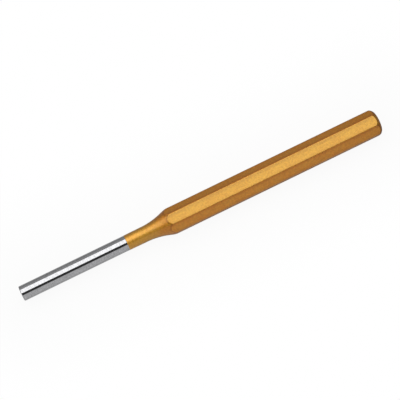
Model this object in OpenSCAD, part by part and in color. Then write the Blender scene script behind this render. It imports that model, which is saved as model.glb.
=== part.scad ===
// Pin punch: an octagonal shank with a turned neck and a crowned head, and a ground pin pressed into its nose.
// Sizes are in millimetres. The tool lies on one flat of the shank, with the pin towards -X and the head towards +X.

/* [Overall] */
// Length from the tip of the pin to the top of the crowned head
overall_length = 150; // [120:1:200]

/* [Pin] */
// Diameter of the ground working pin
pin_d = 5.9; // [3.9:0.1:7.9]
// Length of the working pin, from its tip to its shoulder
pin_length = 43.7; // [30:0.1:55]
// Bevel that breaks the sharp edge of the tip
tip_bevel = 0.2; // [0.1:0.05:0.4]
// Length of the tang behind the shoulder
tang_length = 22; // [12:1:30]
// Bevel that leads the tang into its bore
tang_lead = 0.5; // [0.2:0.1:0.6]
// Bevel that strengthens the root of the tang, under the shoulder
root_bevel = 0.25; // [0.1:0.05:0.35]
// Depth of the flat along the tang that lets air out of the bore
vent_depth = 0.15; // [0.1:0.05:0.3]

/* [Shank] */
// Octagonal bar, measured across its flats
across_flats = 10; // [9:0.5:14]
// Height that is rounded off each of the bar's eight ridges
ridge_ease = 0.05; // [0.03:0.005:0.2]

/* [Neck] */
// Height of the small step from the pin up to the nose
nose_step = 0.05; // [0.02:0.01:0.1]
// Bevel on the front edge of the nose, which leaves a fine joint line around the pin
nose_edge = 0.1; // [0.05:0.05:0.3]
// Length of the nose, from the pin's shoulder to the start of the curve
nose_length = 7.2; // [4:0.1:10]
// Slight taper of the nose, from the axis
nose_taper = 0.3; // [0.2:0.1:1]
// Radius of the hollow curve between the nose and the cone
neck_radius = 27; // [15:1:35]
// Slope of the cone that runs out through the flats, from the axis
cone_angle = 18; // [12:1:20]

/* [Head] */
// Radius of the crown on the striking face
crown_radius = 15; // [12:1:40]
// Radius of the turned rounding between the crown and the ridges
head_round = 2.7; // [1:0.1:4]

/* [Fit] */
// Thickness of the nose around the tang's bore
nose_wall = 1; // [0.7:0.1:1.3]
// Clearance between the tang and its bore, on the radius
tang_clearance = 0.01; // [0.005:0.005:0.03]
// Air space between the end of the tang and the bottom of the bore
bore_end_gap = 0.5; // [0.2:0.1:1]
// Clearance between the bevel at the tang's root and the bevel at the bore's mouth
mouth_clearance = 0.1; // [0.05:0.05:0.2]
// Angle of the drill point at the bottom of the bore
drill_angle = 118; // [90:2:140]

/* [Hidden] */
$fa = 2;
$fs = 0.15;

lacquer_gold = [0.88, 0.66, 0.22];
bright_steel = [0.78, 0.79, 0.81];

// Cuts run past the faces that they open by this much
overrun = 1;
// Curves that run into each other go this much past touching, so that they meet in one clean edge
blend = 0.002;

pin_r = pin_d / 2;
nose_r = pin_r + nose_step;
bore_r = nose_r - nose_wall;
tang_r = bore_r - tang_clearance;
tang_end = pin_length + tang_length;

sides = 8;
half_side_angle = 180 / sides;
corner_r = across_flats / 2 / cos(half_side_angle);
ridge_r = corner_r - ridge_ease;

// The nose ends where the curve starts, and the curve ends where the cone starts
neck_start = pin_length + nose_length;
cone_start = neck_start + neck_radius * sin(cone_angle);
nose_root_r = nose_r + nose_length * tan(nose_taper);
cone_start_r = nose_root_r + neck_radius * (1 - cos(cone_angle));

// The turned outline stands clear of the bar's corners between the cone and the head
clear_r = max(corner_r, cone_start_r) + overrun;
cone_end = cone_start + (clear_r - cone_start_r) / tan(cone_angle);

// The rounding of the head touches the crown from inside and reaches out to the bar's corners
round_centre_r = corner_r - head_round;
crown_tilt = asin(round_centre_r / (crown_radius - head_round));
crown_centre = overall_length - crown_radius;
round_centre = crown_centre + (crown_radius - head_round) * cos(crown_tilt);
crown_edge_r = crown_radius * sin(crown_tilt);

// Turns a shape made upwards from the tip so that it lies along +X on a flat of the shank
module lie_down() {
    translate([-overall_length / 2, 0, across_flats / 2])
        rotate([0, 90, 0])
            children();
}

// Octagonal bar with its ridges eased to a round
module bar() {
    linear_extrude(overall_length)
        intersection() {
            rotate(half_side_angle)
                circle(corner_r, $fn = sides);
            circle(ridge_r);
        }
}

// Half section of the nose, the hollow neck and the cone
module neck_section() {
    difference() {
        polygon([
            [0, pin_length],
            [nose_r - nose_edge, pin_length],
            [nose_r + nose_edge * tan(nose_taper), pin_length + nose_edge],
            [nose_root_r, neck_start],
            [cone_start_r, cone_start],
            [clear_r, cone_end],
            [clear_r, round_centre],
            [0, round_centre]
        ]);
        translate([nose_root_r + neck_radius, neck_start])
            circle(neck_radius + blend);
    }
}

// Half section of the rounded and crowned head
module head_section() {
    intersection() {
        translate([0, crown_centre])
            circle(crown_radius);
        translate([0, round_centre])
            square([corner_r, crown_radius]);
        union() {
            square([crown_edge_r, overall_length + overrun]);
            translate([round_centre_r, round_centre + blend])
                circle(head_round);
        }
    }
}

// Blind bore for the tang, with a bevelled mouth and a drill point
module tang_bore() {
    mouth = root_bevel + mouth_clearance;
    bore_end = tang_end + bore_end_gap;
    point = bore_r / tan(drill_angle / 2);
    rotate_extrude()
        polygon([
            [0, pin_length - overrun],
            [bore_r + mouth + overrun, pin_length - overrun],
            [bore_r, pin_length + mouth],
            [bore_r, bore_end],
            [0, bore_end + point]
        ]);
}

// Forged and turned shank, lacquered all over
module shank() {
    color(lacquer_gold)
        lie_down()
            difference() {
                intersection() {
                    bar();
                    rotate_extrude() {
                        neck_section();
                        head_section();
                    }
                }
                tang_bore();
            }
}

// Ground pin with a square shoulder and a tang that is pressed into the nose
module pin() {
    color(bright_steel)
        lie_down()
            difference() {
                rotate_extrude()
                    polygon([
                        [0, 0],
                        [pin_r - tip_bevel, 0],
                        [pin_r, tip_bevel],
                        [pin_r, pin_length],
                        [tang_r + root_bevel, pin_length],
                        [tang_r, pin_length + root_bevel],
                        [tang_r, tang_end - tang_lead],
                        [tang_r - tang_lead, tang_end],
                        [0, tang_end]
                    ]);
                translate([tang_r - vent_depth, -tang_r, pin_length + root_bevel])
                    cube([tang_r, 2 * tang_r, tang_length]);
            }
}

shank();
pin();
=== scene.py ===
"""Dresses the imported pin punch: a gold-lacquered octagonal shank and a bright ground pin.

The punch lies on a pale studio floor, seen from above.
"""

import math

import bmesh
import bpy
from bpy.props import FloatProperty, FloatVectorProperty, IntProperty, PointerProperty
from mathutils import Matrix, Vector


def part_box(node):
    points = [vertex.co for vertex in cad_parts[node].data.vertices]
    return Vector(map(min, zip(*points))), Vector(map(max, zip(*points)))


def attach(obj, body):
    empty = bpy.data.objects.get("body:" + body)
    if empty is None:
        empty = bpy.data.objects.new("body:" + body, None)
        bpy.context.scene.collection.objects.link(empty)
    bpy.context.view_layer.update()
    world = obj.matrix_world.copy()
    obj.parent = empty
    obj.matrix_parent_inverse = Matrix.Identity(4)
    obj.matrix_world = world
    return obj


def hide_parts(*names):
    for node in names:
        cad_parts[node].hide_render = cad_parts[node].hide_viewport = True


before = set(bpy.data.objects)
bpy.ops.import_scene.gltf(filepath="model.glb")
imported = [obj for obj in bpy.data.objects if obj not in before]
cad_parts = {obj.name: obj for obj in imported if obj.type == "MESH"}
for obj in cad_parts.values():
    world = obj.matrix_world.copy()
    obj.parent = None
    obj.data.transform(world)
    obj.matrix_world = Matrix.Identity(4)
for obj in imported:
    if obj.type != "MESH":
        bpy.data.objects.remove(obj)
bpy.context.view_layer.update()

bl_info = {
    "name": "Pin punch",
    "version": (1, 0, 0),
    "blender": (4, 5, 0),
    "location": "3D View > Sidebar > Pin punch",
    "description": "Builds a lacquered pin punch with a ground pin, and a pale studio around it",
    "category": "Add Mesh",
}

MM = 0.001
SHANK_LOW, SHANK_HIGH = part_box("shank")
PIN_LOW, PIN_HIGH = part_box("pin")
AXIS_HEIGHT = (SHANK_LOW.z + SHANK_HIGH.z) / 2

# The bar has eight flats, and each takes up this turn around the axis
FLATS = 8
FLAT_TURN = 2 * math.pi / FLATS
HALF_FLAT = FLAT_TURN / 2

# Points closer than this are one point, and edges that turn more than this stay sharp
MERGE_DISTANCE = 0.0001 * MM
SHARP_TURN = math.radians(32)

# Steps along each stretch of the half sections
NOSE_EDGE_STEPS, NOSE_STEPS, NECK_STEPS = 5, 4, 24
CONE_STEPS, SCALLOP_STEPS, BAR_STEPS = 4, 30, 14
HEAD_STEPS, CROWN_STEPS = 36, 14
PIN_STEPS = 12

# Noise patterns on the surfaces: grains to a millimetre, and levels of detail. A stretch says how fast a
# pattern changes in each direction, and a curve how fast it changes around the axis, against along it.
CLOUDS, WAVES, PEEL = (0.25, 3), (0.07, 1), (0.9, 2)
FLECKS, GRAIN, FLAKES = (1.3, 4), (2.2, 2), (7, 2)
TOOL_MARKS, DRAWN_STRETCH, TURNED_CURVE = (5, 2), (0.04, 1, 1), 0.03
GRINDING_RINGS, RING_CURVE = (18, 3), 0.03
GRINDING_MARKS, MARK_CURVE = (4, 2), 0.3
STEEL_CLOUDS = (0.35, 2)

# Places on the shank in millimetres: along the punch from its middle, and out from its axis
NOSE_FRONT, NECK_START, NECK_END, CONE_START = -31, -24, -18, -15
TURNED_RADIUS, BAR_RADIUS = 4.5, 5
EDGE_LINE_START, EDGE_LINE_END = (4.6, 4.8), (4.86, 4.95)

# Places around the shank, in flats from the middle of the top one, so that a ridge is halfway to the next
RIDGE = 0.5
RIDGE_ABOVE, RIDGE_BELOW, RIDGE_BLUR = 0.2, 0.25, 0.05
MARGIN_START = 0.12
CONE_SIDE_SPAN = (0.2, 0.8)
NECK_SIDE_SPAN = (0.5, 1.1)

# Middle of every noise pattern
MIDDLE = 0.5

# Sockets of a Mix node that belong to colours
MIX_SHARE, MIX_FIRST, MIX_SECOND, MIX_RESULT = 0, 6, 7, 2

# How far a direction has to point along the punch to see the walls at its ends
HEAD_WALL_SPAN = (0.55, 0.9)
TIP_WALL_SPAN = (-0.6, -0.9)

# The floor is a disc of this many sides, just under the punch
FLOOR_SIDES = 96
FLOOR_GAP = 0.02 * MM


# Settings

def length(name, description, default):
    return FloatProperty(
        name=name, description=description, default=default, min=0, precision=5, unit="LENGTH")


def angle(name, description, degrees):
    return FloatProperty(
        name=name, description=description, default=math.radians(degrees), subtype="ANGLE")


def share(name, description, default):
    return FloatProperty(
        name=name, description=description, default=default, min=0, max=1, subtype="FACTOR")


def level(name, description, default):
    return FloatProperty(name=name, description=description, default=default, min=0)


def colour(name, description, default):
    return FloatVectorProperty(
        name=name, description=description, default=default, min=0, max=1, subtype="COLOR")


def count(name, description, default):
    return IntProperty(name=name, description=description, default=default, min=3)


class ShankSettings(bpy.types.PropertyGroup):
    """Sizes of the octagonal shank, its turned neck and its crowned head."""
    across_flats: length("Across flats", "Width of the bar across its flats", SHANK_HIGH.z - SHANK_LOW.z)
    ridge_ease: length("Ridge ease", "Height that is rounded off each ridge of the bar", 0.05 * MM)
    softness: length("Edge softness", "How far the lacquer rounds over the edges of the flats", 0.03 * MM)
    nose_radius: length("Nose radius", "Radius of the nose at the pin's shoulder", 3 * MM)
    nose_edge: length("Nose edge", "Rounding on the front edge of the nose", 0.1 * MM)
    nose_length: length("Nose length", "From the pin's shoulder to the hollow curve", 7.2 * MM)
    nose_taper: angle("Nose taper", "Slight taper of the nose, from the axis", 0.3)
    neck_radius: length("Neck radius", "Radius of the hollow curve behind the nose", 27 * MM)
    cone_angle: angle("Cone angle", "Slope of the cone that runs out through the flats, from the axis", 18)
    crown_radius: length("Crown radius", "Radius of the crown on the striking face", 15 * MM)
    head_round: length("Head rounding", "Radius of the turned rounding around the crown", 2.7 * MM)
    bore_radius: length("Bore radius", "Radius of the blind bore for the tang", 2 * MM)
    bore_mouth: length("Bore mouth", "Bevel at the mouth of the bore", 0.35 * MM)
    bore_depth: length("Bore depth", "Depth of the bore's straight wall", 22.5 * MM)
    drill_angle: angle("Drill angle", "Angle of the drill point at the bottom of the bore", 118)
    steps: count("Steps", "Steps across each flat of the shank", 72)


class PinSettings(bpy.types.PropertyGroup):
    """Sizes of the ground pin and its tang."""
    diameter: length("Diameter", "Diameter of the ground pin", PIN_HIGH.y - PIN_LOW.y)
    tip_bevel: length("Tip bevel", "Bevel that breaks the sharp edge of the tip", 0.2 * MM)
    tang_radius: length("Tang radius", "Radius of the tang in its bore", 1.99 * MM)
    root_bevel: length("Root bevel", "Bevel at the root of the tang", 0.25 * MM)
    tang_lead: length("Tang lead", "Bevel that leads the tang into its bore", 0.5 * MM)
    vent_depth: length("Vent depth", "Depth of the flat along the tang that lets air out", 0.15 * MM)
    steps: count("Steps", "Steps around an eighth of the pin", 32)


class FinishSettings(bpy.types.PropertyGroup):
    """Colours, gloss and patterns of the lacquer and the ground steel."""
    lacquer: colour("Lacquer", "Amber of the lacquer over bright steel", (0.775, 0.418, 0.042))
    thin_lacquer: colour("Thin lacquer", "Lacquer where it thins out on the nose", (0.82, 0.42, 0.045))
    # Also the colour of the painted shade on the side flats and on the sides of the cone and head
    deep_lacquer_and_shade: colour("Deep lacquer", "Lacquer where it lies thicker", (0.725, 0.254, 0.01))
    lacquer_roughness: share("Lacquer roughness", "Roughness of the metal under the lacquer", 0.54)
    coat_roughness: share("Coat roughness", "Roughness of the lacquer's own surface", 0.3)

    top_depth: share("Top depth", "How deep the lacquer lies on the top flat", 0.07)
    ridge_depth: share("Ridge depth", "How much deeper it lies under the ridges", 0.45)
    # Painted shade: every flat but the top one gets this much of the deep colour, so it looks darker than
    # the top
    side_depth: share("Side depth", "How much deeper it lies on the flats that it ran down", 0.62)
    margin_depth: share("Margin depth", "How much deeper it lies along the margins of a flat", 0.08)
    edge_depth: share("Edge depth", "How much deeper it lies in the line at the ends of a flat", 0.5)
    cone_depth: share("Cone depth", "How much deeper it lies on the cone and the head", 0.5)
    # Painted shade: the sides of the cone and the head are made deeper in colour than their tops
    cone_side_depth: share("Cone side depth", "How much deeper still it lies on their sides", 0.25)
    cloud_depth: share("Cloud depth", "How much its depth changes in soft clouds", 0.6)
    peel_depth: share("Peel depth", "How much its depth changes in the orange peel", 0.3)
    grain_depth: share("Grain depth", "How much its depth changes in small grains", 0.3)
    flake_depth: share("Flake depth", "How much its depth changes in fine flakes", 0.35)

    fleck_shade: share("Fleck shade", "How much lighter and darker the flecks are", 0.6)
    edge_shade: share("Edge shade", "How much darker the line at the ends of a flat is", 0.25)
    margin_shade: share("Margin shade", "How much darker the margins of a flat are", 0.11)
    # Painted shade: darkens the sides of the turned nose, neck, cone and head
    neck_shade: share("Neck shade", "How much darker the sides of the neck are", 0.14)
    cloud_gloss: share("Cloud gloss", "How much the roughness changes in soft clouds", 0.1)
    flake_gloss: share("Flake gloss", "How much the roughness changes in fine flakes", 0.06)

    margin_height: length("Margin height", "How far the margins of a flat stand up", 0.04 * MM)
    peel_height: length("Peel height", "Height of the orange peel", 0.03 * MM)
    grain_height: length("Grain height", "Height of the small grains", 0.012 * MM)
    wave_height: length("Wave height", "Height of the long waves along the bar", 0.03 * MM)
    drawn_height: length("Drawn height", "Height of the lines that drawing left along the bar", 0.0015 * MM)
    turned_height: length("Turned height", "Height of the rings that turning left on the neck", 0.002 * MM)

    steel: colour("Steel", "Bright ground steel", (0.64, 0.64, 0.655))
    steel_roughness: share("Steel roughness", "Roughness of the ground steel", 0.078)
    steel_dark: share("Dark steel", "Brightness of the darker grinding marks, against the steel", 0.68)
    steel_tone: share("Steel tone", "How bright the steel is on the whole, from its darker marks up", 0.45)
    steel_cloud_gloss: share("Steel cloud gloss", "How much its roughness changes in clouds", 0.04)
    steel_ring_gloss: share("Steel ring gloss", "How much its roughness changes in rings", 0.05)
    steel_ring_height: length("Steel ring height", "Height of the grinding rings", 0.0006 * MM)
    ring_contrast: level("Ring contrast", "How strong the fine grinding rings are", 5)
    mark_contrast: level("Mark contrast", "How strong the short grinding marks are", 3.5)
    steel_cloud_contrast: level("Steel cloud contrast", "How strong the clouds on the steel are", 0.6)


class StageSettings(bpy.types.PropertyGroup):
    """The studio: camera, softbox, walls and floor."""
    azimuth: angle("Azimuth", "Direction of the camera around the punch", -26.13)
    elevation: angle("Elevation", "Height of the camera above the floor", 81.2)
    distance: length("Distance", "From the camera to its aim", 0.65)
    lens: FloatProperty(
        name="Lens", description="Focal length of the camera", default=155.12, min=1, unit="CAMERA")
    aim: FloatVectorProperty(
        name="Aim", description="Point in the middle of the picture", subtype="TRANSLATION", unit="LENGTH",
        default=(0.55 * MM, 2.44 * MM, 5.4 * MM))
    softbox_low: angle("Softbox start", "Where the softbox starts, across the punch from straight up", -2.9)
    softbox_high: angle("Softbox end", "Where the softbox ends, across the punch from straight up", 53.3)
    softbox_distance: length("Softbox distance", "From the punch to the softbox", 1.0)
    softbox_length: length("Softbox length", "Length of the softbox along the punch", 1.6)
    softbox_level: level("Softbox level", "Brightness of the softbox", 1.7)
    near_wall: level("Near wall", "Brightness of the wall on the camera's side", 0.612)
    far_wall: level("Far wall", "Brightness of the wall behind the punch", 0.377)
    ceiling: level("Ceiling", "Brightness of the dark ceiling over the camera", 0.043)
    ceiling_end: angle("Ceiling end", "Where the near wall takes over, from straight up", -37.4)
    wall_blur: angle("Wall blur", "How softly the ceiling and the walls run into each other", 4)
    head_wall: level("Head wall", "Brightness of the wall that the head points to", 0.2)
    tip_wall: level("Tip wall", "Brightness of the wall that the pin points to", 0.5)
    floor_radius: length("Floor radius", "Radius of the floor", 2.0)
    floor_paint: share("Floor paint", "Brightness of the floor's paint", 0.9)
    floor_white: share("Floor white", "How much of the floor's white is its own, under the punch", 0.93)
    near_floor: share("Near floor", "Brightness of the floor in reflections, on the camera's side", 0.635)
    far_floor: share("Far floor", "Brightness of the floor in reflections, behind the punch", 0.26)
    head_floor: share("Head floor", "Brightness of the floor in reflections, past the head", 0.2)
    # Painted shadow: the floor beside the shank is darkened to this level in reflections
    shade_floor: share("Shaded floor", "Brightness of the floor in reflections, beside the shank", 0.1)
    shade_start: length("Shade start", "Where the floor beside the shank starts to get lighter", 5 * MM)
    shade_end: length("Shade end", "Where the floor beside the shank is fully light", 10 * MM)
    head_card: length("Head card", "How softly the floor darkens in reflections, at the head", 4 * MM)
    shadow_reach: length("Shadow reach", "How far from the punch the floor keeps its shadow", 45 * MM)


# Shapes

def smooth_min(first, second, softness):
    """The smaller of two sizes, rounded over where they are nearly alike."""
    overlap = max(softness - abs(first - second), 0) / softness
    return min(first, second) - overlap * overlap * softness / 4


def arc(centre, radius, start, end, steps):
    """Points of a half section on a circle, with angles from the +X direction."""
    turns = [start + (end - start) * step / steps for step in range(steps + 1)]
    return [(centre[0] + radius * math.cos(turn), centre[1] + radius * math.sin(turn)) for turn in turns]


def line(start, end, steps):
    """Evenly spaced points of a half section, without the last one."""
    parts = [step / steps for step in range(steps)]
    return [(start[0] + (end[0] - start[0]) * part, start[1] + (end[1] - start[1]) * part) for part in parts]


def spin(points, steps):
    """Turns a half section of (x, radius) points around the axis: one flat first, then its copies."""
    body = bmesh.new()
    verts = [body.verts.new((x, 0, AXIS_HEIGHT + radius)) for x, radius in points]
    edges = [body.edges.new(pair) for pair in zip(verts, verts[1:])]
    turn = {"cent": (0, 0, AXIS_HEIGHT), "axis": (1, 0, 0)}
    bmesh.ops.spin(body, geom=verts + edges, angle=FLAT_TURN, steps=steps, **turn)
    sector = [*body.verts, *body.edges, *body.faces]
    copies = FLATS - 1
    bmesh.ops.spin(
        body, geom=sector, angle=copies * FLAT_TURN, steps=copies, use_duplicate=True, **turn)
    bmesh.ops.remove_doubles(body, verts=body.verts, dist=MERGE_DISTANCE)
    bmesh.ops.recalc_face_normals(body, faces=body.faces)
    return body


def add_piece(body, name, node, material):
    """Makes a mesh the shown piece for a node of the frame."""
    mesh = bpy.data.meshes.new(name)
    body.to_mesh(mesh)
    body.free()
    mesh.shade_smooth()
    mesh.set_sharp_from_angle(angle=SHARP_TURN)
    mesh.materials.append(material)
    piece = bpy.data.objects.new(name, mesh)
    bpy.context.scene.collection.objects.link(piece)
    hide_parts(node)
    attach(piece, "root")


def shank_section(sizes):
    """Half section of the turned shank, from the bottom of its bore round the nose to the crown."""
    joint, top = SHANK_LOW.x, SHANK_HIGH.x
    apothem = sizes.across_flats / 2
    corner = apothem / math.cos(HALF_FLAT)
    ridge = corner - sizes.ridge_ease

    bore_end = joint + sizes.bore_depth
    bore_point = bore_end + sizes.bore_radius / math.tan(sizes.drill_angle / 2)
    bore = [
        (bore_point, 0),
        (bore_end, sizes.bore_radius),
        (joint + sizes.bore_mouth, sizes.bore_radius),
        (joint, sizes.bore_radius + sizes.bore_mouth),
    ]

    edge = sizes.nose_edge
    nose_front = arc(
        (joint + edge, sizes.nose_radius - edge), edge, math.pi, math.pi / 2, NOSE_EDGE_STEPS)
    neck_start = joint + sizes.nose_length
    nose_root = sizes.nose_radius + sizes.nose_length * math.tan(sizes.nose_taper)
    neck = arc(
        (neck_start, nose_root + sizes.neck_radius), sizes.neck_radius,
        -math.pi / 2, -math.pi / 2 + sizes.cone_angle, NECK_STEPS)
    nose = line(nose_front[-1], neck[0], NOSE_STEPS)[1:]

    def on_cone(radius):
        return neck[-1][0] + (radius - neck[-1][1]) / math.tan(sizes.cone_angle), radius

    scallop_start = on_cone(apothem - sizes.softness)
    cone_end = on_cone(corner + sizes.softness)
    cone = line(neck[-1], scallop_start, CONE_STEPS)[1:]
    scallops = line(scallop_start, cone_end, SCALLOP_STEPS)

    round_r = corner - sizes.head_round
    tilt = math.asin(round_r / (sizes.crown_radius - sizes.head_round))
    crown_x = top - sizes.crown_radius
    round_x = crown_x + (sizes.crown_radius - sizes.head_round) * math.cos(tilt)
    head = arc((round_x, round_r), sizes.head_round, math.pi / 2, tilt, HEAD_STEPS)
    crown = arc((crown_x, 0), sizes.crown_radius, tilt, 0, CROWN_STEPS)[1:]
    bar = line(cone_end, head[0], BAR_STEPS)

    turned = nose_front + nose + neck + cone + scallops + bar + head + crown
    return bore + [(x, smooth_min(radius, ridge, sizes.softness)) for x, radius in turned]


def press_flats(body, sizes):
    """Draws the turned blank in to the eight flats of the bar."""
    apothem = sizes.across_flats / 2
    for vert in body.verts:
        arm = Vector((0, vert.co.y, vert.co.z - AXIS_HEIGHT))
        if arm.length < apothem - sizes.softness:
            continue
        turn = math.atan2(arm.y, arm.z)
        off_flat = (turn + HALF_FLAT) % FLAT_TURN - HALF_FLAT
        radius = smooth_min(arm.length, apothem / math.cos(off_flat), sizes.softness)
        arm *= radius / arm.length
        vert.co = (vert.co.x, arm.y, AXIS_HEIGHT + arm.z)


def pin_section(sizes):
    """Half section of the pin, from the tip to the end of its tang."""
    tip, shoulder, end = PIN_LOW.x, SHANK_LOW.x, PIN_HIGH.x
    radius = sizes.diameter / 2
    return [
        (tip, 0),
        (tip, radius - sizes.tip_bevel),
        *line((tip + sizes.tip_bevel, radius), (shoulder, radius), PIN_STEPS),
        (shoulder, radius),
        (shoulder, sizes.tang_radius + sizes.root_bevel),
        (shoulder + sizes.root_bevel, sizes.tang_radius),
        (end - sizes.tang_lead, sizes.tang_radius),
        (end, sizes.tang_radius - sizes.tang_lead),
        (end, 0),
    ]


def cut_vent(body, sizes):
    """Flattens the underside of the tang."""
    tang_start = SHANK_LOW.x + sizes.root_bevel
    lowest = AXIS_HEIGHT - sizes.tang_radius + sizes.vent_depth
    for vert in body.verts:
        if vert.co.x > tang_start - MERGE_DISTANCE:
            vert.co.z = max(vert.co.z, lowest)


# Shader nodes

class Wire:
    """An output socket in a node tree. Its operators add Math nodes, and make adds any other node."""

    def __init__(self, tree, socket=None):
        self.tree = tree
        self.socket = socket

    def make(self, kind, settings=None, inputs=None, output=0):
        node = self.tree.nodes.new(kind)
        for name, value in (settings or {}).items():
            setattr(node, name, value)
        for name, value in (inputs or {}).items():
            if isinstance(value, Wire):
                self.tree.links.new(value.socket, node.inputs[name])
            else:
                node.inputs[name].default_value = value
        return Wire(self.tree, node.outputs[output] if node.outputs else None)

    def output(self, name):
        return Wire(self.tree, self.socket.node.outputs[name])

    def math(self, operation, *values):
        return self.make("ShaderNodeMath", {"operation": operation}, dict(enumerate(values)))

    def __add__(self, other):
        return self.math("ADD", self, other)

    def __radd__(self, other):
        return self.math("ADD", other, self)

    def __sub__(self, other):
        return self.math("SUBTRACT", self, other)

    def __rsub__(self, other):
        return self.math("SUBTRACT", other, self)

    def __mul__(self, other):
        return self.math("MULTIPLY", self, other)

    def __rmul__(self, other):
        return self.math("MULTIPLY", other, self)

    def __truediv__(self, other):
        return self.math("DIVIDE", self, other)

    def __rtruediv__(self, other):
        return self.math("DIVIDE", other, self)

    def __abs__(self):
        return self.math("ABSOLUTE", self)

    def fade(self, start, end):
        """0 at start and 1 at end, with a soft run between."""
        inputs = {"Value": self, "From Min": start, "From Max": end}
        return self.make("ShaderNodeMapRange", {"interpolation_type": "SMOOTHSTEP"}, inputs)

    def mix(self, first, second):
        """The first colour where this is 0 and the second where it is 1."""
        inputs = {MIX_SHARE: self, MIX_FIRST: first, MIX_SECOND: second}
        return self.make("ShaderNodeMix", {"data_type": "RGBA"}, inputs, MIX_RESULT)

    def tinted(self, brightness):
        """This colour, made lighter or darker."""
        settings = {"data_type": "RGBA", "blend_type": "MULTIPLY"}
        inputs = {MIX_SHARE: 1, MIX_FIRST: self, MIX_SECOND: brightness}
        return self.make("ShaderNodeMix", settings, inputs, MIX_RESULT)

    def noise(self, scale, detail):
        """Noise on this vector, with grains about one over the scale wide."""
        return self.make("ShaderNodeTexNoise", None, {"Vector": self, "Scale": scale, "Detail": detail})

    def swing(self, amount):
        """This noise, turned into a change this strong around 0."""
        return (self - MIDDLE) * amount


def opaque(rgb):
    return (*rgb, 1)


def grey(brightness):
    return (brightness, brightness, brightness, 1)


def new_material(name):
    material = bpy.data.materials.new(name)
    material.use_nodes = True
    material.node_tree.nodes.clear()
    return material, Wire(material.node_tree)


def millimetres(wire):
    """Object coordinates in millimetres."""
    place = wire.make("ShaderNodeTexCoord", output="Object")
    return wire.make("ShaderNodeVectorMath", {"operation": "SCALE"}, {0: place, "Scale": 1 / MM})


def stretched(place, scale):
    return place.make("ShaderNodeMapping", None, {"Vector": place, "Scale": scale})


def around_axis(place):
    """Along the punch, across it and up from its axis, and the distance from its axis."""
    x = place.make("ShaderNodeSeparateXYZ", None, {0: place})
    y, up = x.output("Y"), x.output("Z") - AXIS_HEIGHT / MM
    return x, y, up, x.math("SQRT", y * y + up * up)


def turned_place(around, x, y, up, radius):
    """Coordinates that change along a turned surface and less around it, for rings or arcs of noise."""
    return x.make("ShaderNodeCombineXYZ", None, {"X": x - radius, "Y": y * around, "Z": up * around})


def raised(height):
    """Normals of a surface with this relief."""
    return height.make("ShaderNodeBump", None, {"Strength": 1, "Distance": 1, "Height": height})


# Finishes

def gold_lacquer(finish):
    """Amber lacquer over drawn and turned steel: softly clouded, with orange peel and deeper ridges, and
    painted shade on the side flats and the sides of the turned parts.
    """
    material, wire = new_material("gold_lacquer")
    place = millimetres(wire)
    x, y, up, radius = around_axis(place)

    clouds = place.noise(*CLOUDS)
    waves = place.noise(*WAVES)
    peel = place.noise(*PEEL)
    flecks = place.noise(*FLECKS)
    grain = place.noise(*GRAIN)
    flakes = place.noise(*FLAKES)
    drawn = stretched(place, DRAWN_STRETCH).noise(*TOOL_MARKS)
    rings = turned_place(TURNED_CURVE, x, y, up, radius).noise(*TOOL_MARKS)

    # The bar with its flats and ridges, and painted shade that gives every flat but the top a deeper colour
    on_bar = radius.fade(TURNED_RADIUS, BAR_RADIUS)
    sides = abs(wire.math("ARCTAN2", y, up)) / FLAT_TURN
    below_ridge = wire.math("FRACT", sides + RIDGE)
    ridges = (1 - below_ridge.fade(0, RIDGE_BELOW)) * on_bar * sides.fade(RIDGE - RIDGE_ABOVE, RIDGE)
    # Painted shade on every flat past the top flat's ridges
    side_flats_painted_shade = sides.fade(RIDGE - RIDGE_BLUR, RIDGE + RIDGE_BLUR) * on_bar
    off_middle = wire.math("PINGPONG", sides, RIDGE)
    margins = off_middle.fade(MARGIN_START, RIDGE) * on_bar

    # The turned nose, neck, cone and head, with painted shade on their sides, and the line where the last
    # two meet a flat
    turned = 1 - on_bar
    thin = 1 - x.fade(NOSE_FRONT, NECK_END)
    # Deeper colour on the cone and the head, with painted shade deeper still on their sides
    cone_sides_painted_shade = sides.fade(*CONE_SIDE_SPAN) * finish.cone_side_depth
    pooled_and_shaded = x.fade(NECK_START, CONE_START) * turned * (finish.cone_depth + cone_sides_painted_shade)
    # Painted shade on the sides of the turned parts
    turned_sides_painted_shade = sides.fade(*NECK_SIDE_SPAN) * turned
    flat_height = radius * wire.math("COSINE", off_middle * FLAT_TURN)
    # A darker line of deeper colour on the cone, just short of where it meets each flat
    edge_line = flat_height.fade(*EDGE_LINE_START) * (1 - flat_height.fade(*EDGE_LINE_END))

    mottle = clouds.swing(finish.cloud_depth) + peel.swing(finish.peel_depth)
    mottle = mottle + grain.swing(finish.grain_depth) + flakes.swing(finish.flake_depth)
    # The lacquer's depth of colour, with the painted shade of the side flats and the cone's sides in it
    depth = finish.top_depth + ridges * finish.ridge_depth + side_flats_painted_shade * finish.side_depth
    depth = depth + margins * finish.margin_depth + edge_line * finish.edge_depth + pooled_and_shaded + mottle
    # Darkening: painted shade on the turned sides, with the darker edge lines and flat margins
    shade = edge_line * finish.edge_shade + margins * finish.margin_shade + turned_sides_painted_shade * finish.neck_shade
    lacquer = thin.mix(opaque(finish.lacquer), opaque(finish.thin_lacquer))
    lacquer = depth.mix(lacquer, opaque(finish.deep_lacquer_and_shade))
    lacquer = lacquer.tinted(1 + flecks.swing(finish.fleck_shade) - shade)

    gloss = clouds.swing(finish.cloud_gloss) + flakes.swing(finish.flake_gloss)
    height = margins * finish.margin_height + peel * finish.peel_height + grain * finish.grain_height
    height = height + waves * finish.wave_height
    height = height + drawn * on_bar * finish.drawn_height + rings * turned * finish.turned_height
    shader = wire.make("ShaderNodeBsdfPrincipled", None, {
        "Base Color": lacquer,
        "Metallic": 1,
        "Roughness": finish.lacquer_roughness + gloss,
        "Coat Weight": 1,
        "Coat Roughness": finish.coat_roughness,
        "Normal": raised(height),
    })
    wire.make("ShaderNodeOutputMaterial", None, {"Surface": shader})
    return material


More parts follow.
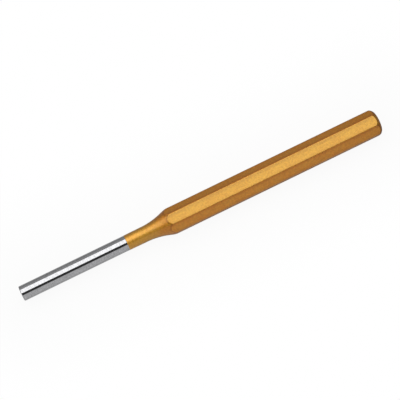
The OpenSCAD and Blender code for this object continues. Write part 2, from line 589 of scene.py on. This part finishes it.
def ground_steel(finish):
    """Bright steel with the fine rings and short marks that grinding leaves around it."""
    material, wire = new_material("ground_steel")
    place = millimetres(wire)
    axis = around_axis(place)
    rings = turned_place(RING_CURVE, *axis).noise(*GRINDING_RINGS)
    marks = turned_place(MARK_CURVE, *axis).noise(*GRINDING_MARKS)
    clouds = place.noise(*STEEL_CLOUDS)
    tone = finish.steel_tone + rings.swing(finish.ring_contrast) + marks.swing(finish.mark_contrast)
    tone = tone + clouds.swing(finish.steel_cloud_contrast)
    gloss = clouds.swing(finish.steel_cloud_gloss) + rings.swing(finish.steel_ring_gloss)
    dark_steel = [channel * finish.steel_dark for channel in finish.steel]
    shader = wire.make("ShaderNodeBsdfPrincipled", None, {
        "Base Color": tone.mix(opaque(dark_steel), opaque(finish.steel)),
        "Metallic": 1,
        "Roughness": finish.steel_roughness + gloss,
        "Normal": raised(rings * finish.steel_ring_height),
    })
    wire.make("ShaderNodeOutputMaterial", None, {"Surface": shader})
    return material


# Stage

def pale_floor(stage):
    """A white floor that keeps the punch's soft shadow, with a painted shadow beside the shank that only
    reflections show.
    """
    material, wire = new_material("pale_floor")
    path = wire.make("ShaderNodeLightPath")
    seen = path.output("Is Camera Ray") + path.output("Is Transmission Ray")
    place = wire.make("ShaderNodeTexCoord", output="Object")
    x = wire.make("ShaderNodeSeparateXYZ", None, {0: place})
    y = x.output("Y")
    reflected = y.fade(-stage.shadow_reach, stage.shadow_reach).mix(
        grey(stage.near_floor), grey(stage.far_floor))
    reflected = x.fade(SHANK_HIGH.x - stage.head_card, SHANK_HIGH.x + stage.head_card).mix(
        reflected, grey(stage.head_floor))
    past_end = wire.math("MAXIMUM", abs(x) - SHANK_HIGH.x, 0)
    away = wire.math("SQRT", past_end * past_end + y * y)
    # Painted shadow: in reflections the floor beside the shank turns dark, standing in for the shank's
    # shadow there
    along_shank = x.fade(SHANK_LOW.x, SHANK_LOW.x + stage.shade_end)
    beside = (1 - away.fade(stage.shade_start, stage.shade_end)) * along_shank
    reflected = beside.mix(reflected, grey(stage.shade_floor))
    paint = wire.make("ShaderNodeBsdfDiffuse", None, {"Color": grey(stage.floor_paint)})
    glow = wire.make("ShaderNodeEmission", None, {"Color": seen.mix(reflected, grey(1))})
    white = stage.floor_white + away.fade(0, stage.shadow_reach) * (1 - stage.floor_white)
    shown = seen * white + path.output("Is Glossy Ray") * (1 - seen)
    shader = wire.make("ShaderNodeMixShader", None, {0: shown, 1: paint, 2: glow})
    wire.make("ShaderNodeOutputMaterial", None, {"Surface": shader})
    return material


def studio_walls(stage):
    """Pale walls and a dark ceiling strip over the camera, which the bright pin reflects."""
    world = bpy.data.worlds.new("studio_walls")
    world.use_nodes = True
    world.node_tree.nodes.clear()
    wire = Wire(world.node_tree)
    direction = wire.make("ShaderNodeTexCoord", output="Generated")
    along = wire.make("ShaderNodeSeparateXYZ", None, {0: direction})
    lean = wire.math("ARCTAN2", along.output("Y"), along.output("Z"))
    blur = stage.wall_blur
    near = 1 - lean.fade(stage.ceiling_end - blur, stage.ceiling_end + blur)
    far = lean.fade(stage.softbox_high - blur, stage.softbox_high + blur)
    walls = stage.ceiling + near * (stage.near_wall - stage.ceiling) + far * (stage.far_wall - stage.ceiling)
    walls = walls + along.fade(*HEAD_WALL_SPAN) * (stage.head_wall - walls)
    walls = walls + along.fade(*TIP_WALL_SPAN) * (stage.tip_wall - walls)
    path = wire.make("ShaderNodeLightPath")
    seen = path.output("Is Camera Ray") + path.output("Is Transmission Ray")
    shader = wire.make("ShaderNodeBackground", None, {"Color": walls + seen * (1 - walls)})
    wire.make("ShaderNodeOutputWorld", None, {"Surface": shader})
    return world


def add_softbox(stage):
    """One long softbox above the far side of the punch."""
    reach = (stage.softbox_high - stage.softbox_low) / 2
    lean = (stage.softbox_high + stage.softbox_low) / 2
    lamp = bpy.data.lights.new("softbox", "AREA")
    lamp.shape = "RECTANGLE"
    lamp.size = stage.softbox_length
    lamp.size_y = 2 * stage.softbox_distance * math.tan(reach)
    lamp.energy = stage.softbox_level * math.pi * lamp.size * lamp.size_y
    holder = bpy.data.objects.new("softbox", lamp)
    holder.location = (0, stage.softbox_distance * math.sin(lean), stage.softbox_distance * math.cos(lean))
    holder.rotation_euler = (-lean, 0, 0)
    holder.visible_camera = False
    bpy.context.scene.collection.objects.link(holder)


def add_floor(stage):
    """A round floor just under the punch."""
    disc = bmesh.new()
    bmesh.ops.create_circle(disc, cap_ends=True, segments=FLOOR_SIDES, radius=stage.floor_radius)
    bmesh.ops.translate(disc, verts=disc.verts, vec=(0, 0, SHANK_LOW.z - FLOOR_GAP))
    mesh = bpy.data.meshes.new("floor")
    disc.to_mesh(mesh)
    disc.free()
    mesh.materials.append(pale_floor(stage))
    floor = bpy.data.objects.new("floor", mesh)
    bpy.context.scene.collection.objects.link(floor)


def add_camera(stage):
    """The camera at the photograph's viewing angle."""
    flat = math.cos(stage.elevation)
    back = Vector((
        math.sin(stage.azimuth) * flat, -math.cos(stage.azimuth) * flat, math.sin(stage.elevation)))
    lens = bpy.data.cameras.new("camera")
    lens.lens = stage.lens
    camera = bpy.data.objects.new("camera", lens)
    camera.location = Vector(stage.aim) + back * stage.distance
    camera.rotation_euler = (-back).to_track_quat("-Z", "Y").to_euler()
    bpy.context.scene.collection.objects.link(camera)
    bpy.context.scene.camera = camera


# Operators

class PUNCH_OT_shank(bpy.types.Operator):
    """Builds the lacquered shank with its neck, flats and crowned head"""
    bl_idname = "punch.shank"
    bl_label = "Shank"

    def execute(self, context):
        sizes = context.scene.punch_shank
        body = spin(shank_section(sizes), sizes.steps)
        press_flats(body, sizes)
        material = gold_lacquer(context.scene.punch_finish)
        add_piece(body, "lacquered_shank", "shank", material)
        return {"FINISHED"}


class PUNCH_OT_pin(bpy.types.Operator):
    """Builds the ground pin with its tang"""
    bl_idname = "punch.pin"
    bl_label = "Pin"

    def execute(self, context):
        sizes = context.scene.punch_pin
        body = spin(pin_section(sizes), sizes.steps)
        cut_vent(body, sizes)
        material = ground_steel(context.scene.punch_finish)
        add_piece(body, "ground_pin", "pin", material)
        return {"FINISHED"}


class PUNCH_OT_stage(bpy.types.Operator):
    """Sets up the floor, the studio light and the camera"""
    bl_idname = "punch.stage"
    bl_label = "Stage"

    def execute(self, context):
        stage = context.scene.punch_stage
        context.scene.view_settings.view_transform = "Standard"
        context.scene.world = studio_walls(stage)
        add_floor(stage)
        add_softbox(stage)
        add_camera(stage)
        return {"FINISHED"}


class PUNCH_PT_panel(bpy.types.Panel):
    """Lists the pieces of the punch and their settings"""
    bl_idname = "PUNCH_PT_panel"
    bl_label = "Pin punch"
    bl_space_type = "VIEW_3D"
    bl_region_type = "UI"
    bl_category = "Pin punch"

    def draw(self, context):
        for group in GROUPS:
            column = self.layout.column()
            if group in OPERATORS:
                column.operator(OPERATORS[group])
            settings = getattr(context.scene, group)
            for name in settings.bl_rna.properties.keys():
                if name not in ("rna_type", "name"):
                    column.prop(settings, name)


OPERATORS = {"punch_shank": "punch.shank", "punch_pin": "punch.pin", "punch_stage": "punch.stage"}
GROUPS = {
    "punch_shank": ShankSettings,
    "punch_pin": PinSettings,
    "punch_finish": FinishSettings,
    "punch_stage": StageSettings,
}
CLASSES = (*GROUPS.values(), PUNCH_OT_shank, PUNCH_OT_pin, PUNCH_OT_stage, PUNCH_PT_panel)


def register():
    for cls in CLASSES:
        bpy.utils.register_class(cls)
    for name, group in GROUPS.items():
        setattr(bpy.types.Scene, name, PointerProperty(type=group))


def unregister():
    for name in GROUPS:
        delattr(bpy.types.Scene, name)
    for cls in reversed(CLASSES):
        bpy.utils.unregister_class(cls)


def main():
    register()
    bpy.ops.punch.stage()
    bpy.ops.punch.shank()
    bpy.ops.punch.pin()


if __name__ == "__main__":
    main()
